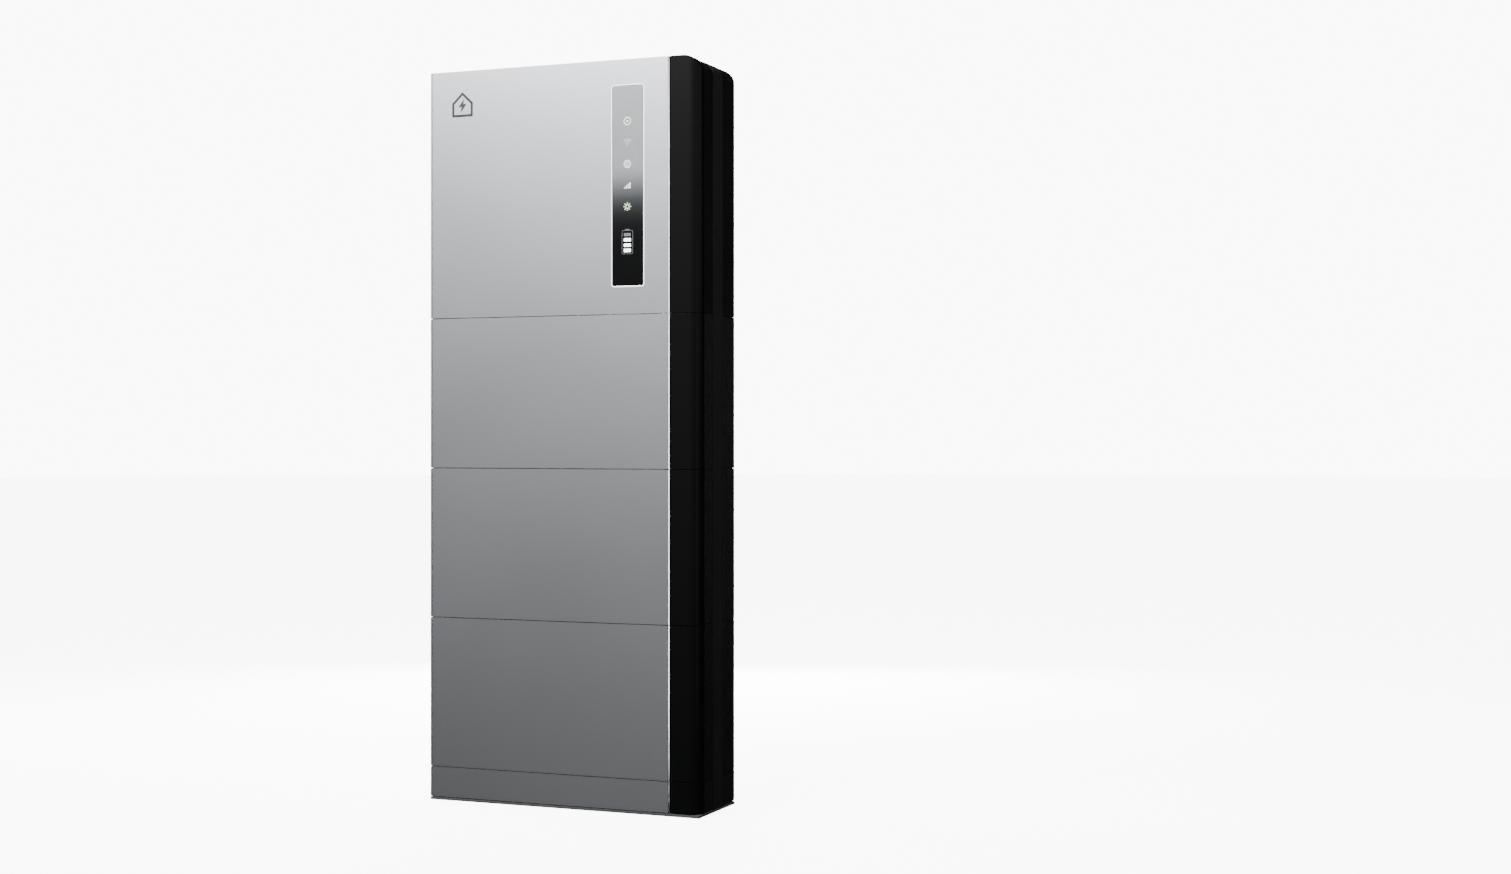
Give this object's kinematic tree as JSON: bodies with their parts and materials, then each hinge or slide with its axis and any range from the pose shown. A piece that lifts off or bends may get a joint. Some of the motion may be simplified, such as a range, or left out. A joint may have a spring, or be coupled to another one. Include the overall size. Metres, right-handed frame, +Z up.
{
  "type": "stacked home battery unit",
  "caption": "Slim free-standing home battery: plinth, stacked battery modules and an inverter head with an upright display strip, black corner trim and wall brackets.",
  "frame": {"origin": "on the floor, under the middle of the whole box, wall brackets included", "axes": "+X to the right along the front, -Y out of the front, +Z up"},
  "size_m": [0.65, 0.213, 1.608],
  "materials": {
    "silver_aluminium": "satin, fine bead-blasted and anodised",
    "gloss_black": "smooth moulded, soft gloss",
    "black_housing": "black powder coat on a ribbed aluminium housing",
    "dark_steel": "dark grey powder coat",
    "zinc_steel": "zinc plated",
    "smoked_glass": "opaque back-printed glass, silver to black",
    "circuit_board": "solder-masked circuit board",
    "blue_cell_wrap": "insulating film over aluminium cell cans",
    "bare_aluminium": "as extruded",
    "black_plastic": "moulded, fine texture",
    "grey_plastic": "moulded, fine texture",
    "red_plastic": "moulded",
    "copper": "enamelled copper winding",
    "brass": "bright"
  },
  "bodies": {
    "stack": {"backup_connector": "grey_plastic", "base_frame": "zinc_steel", "base_front_panel": "silver_aluminium", "base_housing": "black_housing", "base_plate": "dark_steel", "base_side_trim": "gloss_black", "boost_inductor": "copper", "breaker_body": "grey_plastic", "capacitor_bank": "black_plastic", "comms_cap": "black_plastic", "connection_bay": "black_plastic", "cover_strip_left": "black_housing", "cover_strip_right": "black_housing", "data_dongle": "grey_plastic", "display_board": "circuit_board", "display_window": "smoked_glass", "earth_stud": "brass", "grid_connector": "grey_plastic", "grid_inductor": "copper", "head_case": "black_housing", "head_front_panel": "silver_aluminium", "head_link_socket": "black_plastic", "head_side_trim": "gloss_black", "heat_sink": "bare_aluminium", "isolator_housing": "grey_plastic", "module_1_case": "black_housing", "module_1_cell_row_lower": "blue_cell_wrap", "module_1_cell_row_upper": "blue_cell_wrap", "module_1_front_panel": "silver_aluminium", "module_1_management_board": "circuit_board", "module_1_power_link": "black_plastic", "module_1_side_trim": "gloss_black", "module_2_case": "black_housing", "module_2_cell_row_lower": "blue_cell_wrap", "module_2_cell_row_upper": "blue_cell_wrap", "module_2_front_panel": "silver_aluminium", "module_2_management_board": "circuit_board", "module_2_power_link": "black_plastic", "module_2_side_trim": "gloss_black", "module_3_case": "black_housing", "module_3_cell_row_lower": "blue_cell_wrap", "module_3_cell_row_upper": "blue_cell_wrap", "module_3_front_panel": "silver_aluminium", "module_3_management_board": "circuit_board", "module_3_power_link": "black_plastic", "module_3_side_trim": "gloss_black", "power_board": "circuit_board", "solar_connector_1": "black_plastic", "solar_connector_2": "black_plastic", "solar_connector_3": "black_plastic", "solar_connector_4": "black_plastic", "wall_bracket_lower": "zinc_steel", "wall_bracket_upper": "zinc_steel"},
    "isolator_knob": {"isolator_knob": "red_plastic"},
    "breaker_lever": {"breaker_lever": "black_plastic"},
    "power_button": {"power_button": "gloss_black"},
    "foot_front_left": {"foot_front_left": "zinc_steel"},
    "foot_front_right": {"foot_front_right": "zinc_steel"},
    "foot_rear_left": {"foot_rear_left": "zinc_steel"},
    "foot_rear_right": {"foot_rear_right": "zinc_steel"}
  },
  "joints": [
    {"name": "isolator_turn", "type": "hinge", "parent": "stack", "child": "isolator_knob", "pos_m": [-0.293, 0.0075, 1.459], "axis": [1, 0, 0], "range_deg": [0, 90]},
    {"name": "breaker_rock", "type": "hinge", "parent": "stack", "child": "breaker_lever", "pos_m": [-0.2995, -0.0165, 1.339], "axis": [0, 1, 0], "range_deg": [-60, 0]},
    {"name": "power_button_press", "type": "slide", "parent": "stack", "child": "power_button", "axis": [1, 0, 0], "range_m": [0, 0.0024], "stiffness_N_per_m": 400, "springref_m": -0.002},
    {"name": "foot_front_left_screw", "type": "slide", "parent": "stack", "child": "foot_front_left", "axis": [0, 0, 1], "range_m": [-0.012, 0]},
    {"name": "foot_front_right_screw", "type": "slide", "parent": "stack", "child": "foot_front_right", "axis": [0, 0, 1], "range_m": [-0.012, 0]},
    {"name": "foot_rear_left_screw", "type": "slide", "parent": "stack", "child": "foot_rear_left", "axis": [0, 0, 1], "range_m": [-0.012, 0]},
    {"name": "foot_rear_right_screw", "type": "slide", "parent": "stack", "child": "foot_rear_right", "axis": [0, 0, 1], "range_m": [-0.012, 0]}
  ]
}
